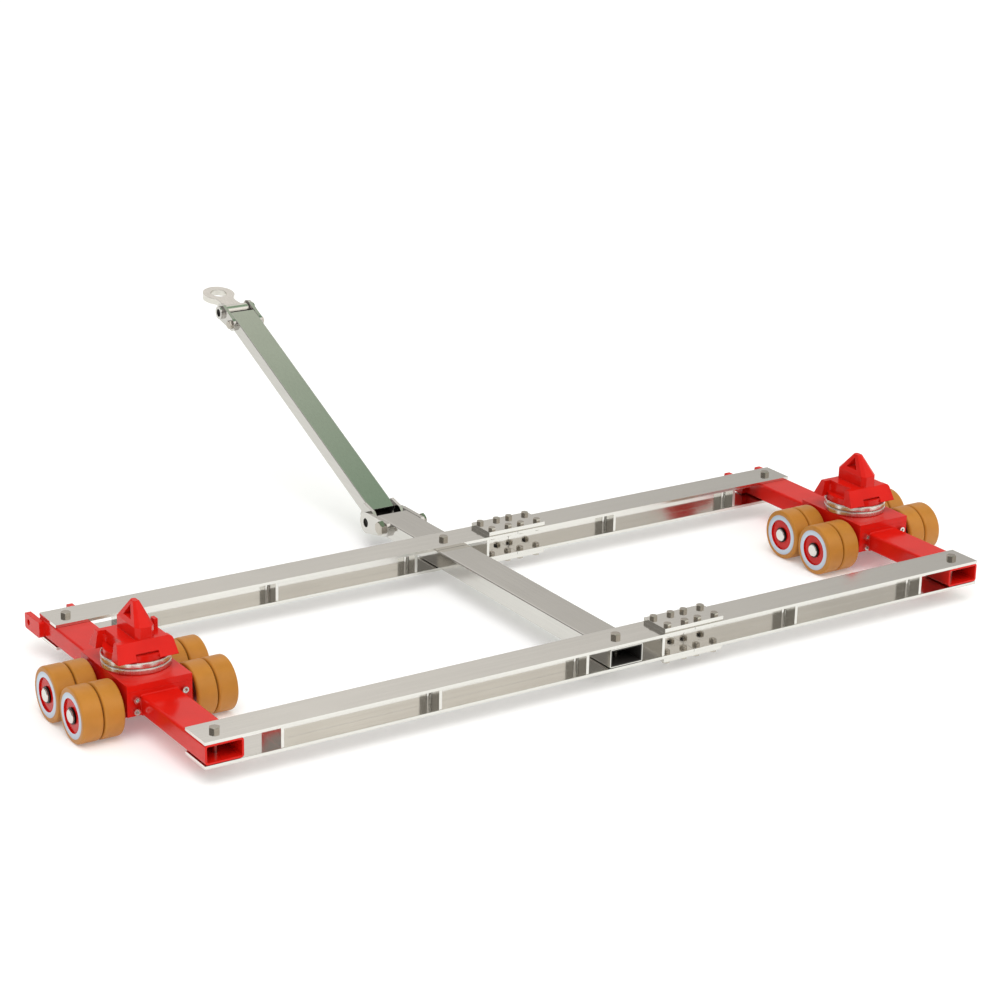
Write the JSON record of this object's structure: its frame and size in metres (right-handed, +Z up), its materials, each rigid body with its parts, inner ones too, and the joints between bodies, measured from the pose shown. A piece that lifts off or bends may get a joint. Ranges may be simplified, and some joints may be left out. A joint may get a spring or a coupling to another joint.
{
  "type": "steerable machine skate",
  "caption": "Steerable roller chassis: swivelling bogies with cone heads, joined by long beams that steer together from a hinged drawbar with a towing eye.",
  "frame": {"origin": "on the floor under the middle of the whole object, drawbar and rollers included", "axes": "+X along the long beams towards the right-hand bogie, +Y towards the towing eye, +Z up"},
  "size_m": [2.679, 2.2498, 0.5154],
  "materials": {
    "satin_steel": "satin polished",
    "bolt_steel": "plated, dull",
    "screw_steel": "bright",
    "pin_steel": "ground",
    "eye_steel": "satin",
    "red_paint": "gloss",
    "roller_core": "turned",
    "polyurethane": "satin",
    "bronze": "turned",
    "chrome": "polished"
  },
  "bodies": {
    "near_beam": {"near_beam_left": "satin_steel", "near_beam_right": "satin_steel", "near_splice_plates": "satin_steel", "near_splice_bolts": "bolt_steel", "near_pivot_bolts": "bolt_steel"},
    "middle_crossbeam": {"middle_crossbeam": "satin_steel", "crossbeam_cheeks": "satin_steel", "cheek_bolt": "bolt_steel", "drawbar_hinge_pin": "pin_steel"},
    "far_beam": {"far_beam_left": "satin_steel", "far_beam_right": "satin_steel", "far_splice_plates": "satin_steel", "far_splice_bolts": "bolt_steel", "far_pivot_bolts": "bolt_steel"},
    "drawbar": {"drawbar": "satin_steel", "eye_cheeks": "satin_steel", "eye_cheek_bolt": "bolt_steel", "eye_pin": "pin_steel"},
    "towing_eye": {"towing_eye": "eye_steel"},
    "left_bogie": {"left_near_arm": "red_paint", "left_far_arm": "red_paint", "left_block": "red_paint", "left_arm_screws": "screw_steel", "left_axles": "pin_steel", "left_axle_bushes": "bronze", "left_axle_rings": "pin_steel", "left_lower_ring": "chrome", "left_turntable_balls": "chrome"},
    "left_head": {"left_head": "red_paint", "left_upper_ring": "chrome", "left_kingpin": "pin_steel"},
    "left_near_left_roller": {"left_near_left_roller_core": "roller_core", "left_near_left_roller_tyres": "polyurethane"},
    "left_near_right_roller": {"left_near_right_roller_core": "roller_core", "left_near_right_roller_tyres": "polyurethane"},
    "left_far_left_roller": {"left_far_left_roller_core": "roller_core", "left_far_left_roller_tyres": "polyurethane"},
    "left_far_right_roller": {"left_far_right_roller_core": "roller_core", "left_far_right_roller_tyres": "polyurethane"},
    "right_bogie": {"right_near_arm": "red_paint", "right_far_arm": "red_paint", "right_block": "red_paint", "right_arm_screws": "screw_steel", "right_axles": "pin_steel", "right_axle_bushes": "bronze", "right_axle_rings": "pin_steel", "right_lower_ring": "chrome", "right_turntable_balls": "chrome"},
    "right_head": {"right_head": "red_paint", "right_upper_ring": "chrome", "right_kingpin": "pin_steel"},
    "right_near_left_roller": {"right_near_left_roller_core": "roller_core", "right_near_left_roller_tyres": "polyurethane"},
    "right_near_right_roller": {"right_near_right_roller_core": "roller_core", "right_near_right_roller_tyres": "polyurethane"},
    "right_far_left_roller": {"right_far_left_roller_core": "roller_core", "right_far_left_roller_tyres": "polyurethane"},
    "right_far_right_roller": {"right_far_right_roller_core": "roller_core", "right_far_right_roller_tyres": "polyurethane"}
  },
  "joints": [
    {"name": "steer", "type": "hinge", "parent": "near_beam", "child": "middle_crossbeam", "pos_m": [0, -1.07491, 0.0845], "axis": [0, 0, 1], "range_deg": [-30, 30]},
    {"name": "left_bogie_steer", "type": "hinge", "parent": "near_beam", "child": "left_bogie", "pos_m": [-1.1295, -1.07491, 0.0845], "axis": [0, 0, 1], "range_deg": [-30, 30]},
    {"name": "right_bogie_steer", "type": "hinge", "parent": "near_beam", "child": "right_bogie", "pos_m": [1.1295, -1.07491, 0.0845], "axis": [0, 0, 1], "range_deg": [-30, 30]},
    {"name": "far_beam_pivot", "type": "hinge", "parent": "middle_crossbeam", "child": "far_beam", "pos_m": [0, -0.25691, 0.0845], "axis": [0, 0, 1], "range_deg": [-30, 30]},
    {"name": "drawbar_pitch", "type": "hinge", "parent": "middle_crossbeam", "child": "drawbar", "pos_m": [0, 0.06109, 0.077], "axis": [1, 0, 0], "range_deg": [-22, 60]},
    {"name": "eye_pitch", "type": "hinge", "parent": "drawbar", "child": "towing_eye", "pos_m": [0, 0.96184, 0.47804], "axis": [1, 0, 0], "range_deg": [-25, 40]},
    {"name": "left_head_swivel", "type": "hinge", "parent": "left_bogie", "child": "left_head", "pos_m": [-1.1295, -0.66591, 0.1463], "axis": [0, 0, 1], "continuous": true},
    {"name": "left_near_left_roller_spin", "type": "hinge", "parent": "left_bogie", "child": "left_near_left_roller", "pos_m": [-1.28, -0.73791, 0.07], "axis": [1, 0, 0], "continuous": true},
    {"name": "left_near_right_roller_spin", "type": "hinge", "parent": "left_bogie", "child": "left_near_right_roller", "pos_m": [-0.979, -0.73791, 0.07], "axis": [1, 0, 0], "continuous": true},
    {"name": "left_far_left_roller_spin", "type": "hinge", "parent": "left_bogie", "child": "left_far_left_roller", "pos_m": [-1.28, -0.59391, 0.07], "axis": [1, 0, 0], "continuous": true},
    {"name": "left_far_right_roller_spin", "type": "hinge", "parent": "left_bogie", "child": "left_far_right_roller", "pos_m": [-0.979, -0.59391, 0.07], "axis": [1, 0, 0], "continuous": true},
    {"name": "right_head_swivel", "type": "hinge", "parent": "right_bogie", "child": "right_head", "pos_m": [1.1295, -0.66591, 0.1463], "axis": [0, 0, 1], "continuous": true},
    {"name": "right_near_left_roller_spin", "type": "hinge", "parent": "right_bogie", "child": "right_near_left_roller", "pos_m": [0.979, -0.73791, 0.07], "axis": [1, 0, 0], "continuous": true},
    {"name": "right_near_right_roller_spin", "type": "hinge", "parent": "right_bogie", "child": "right_near_right_roller", "pos_m": [1.28, -0.73791, 0.07], "axis": [1, 0, 0], "continuous": true},
    {"name": "right_far_left_roller_spin", "type": "hinge", "parent": "right_bogie", "child": "right_far_left_roller", "pos_m": [0.979, -0.59391, 0.07], "axis": [1, 0, 0], "continuous": true},
    {"name": "right_far_right_roller_spin", "type": "hinge", "parent": "right_bogie", "child": "right_far_right_roller", "pos_m": [1.28, -0.59391, 0.07], "axis": [1, 0, 0], "continuous": true}
  ],
  "couplings": [
    {"joint": "left_bogie_steer", "follows": "steer", "ratio": 1},
    {"joint": "right_bogie_steer", "follows": "steer", "ratio": 1},
    {"joint": "far_beam_pivot", "follows": "steer", "ratio": -1}
  ]
}
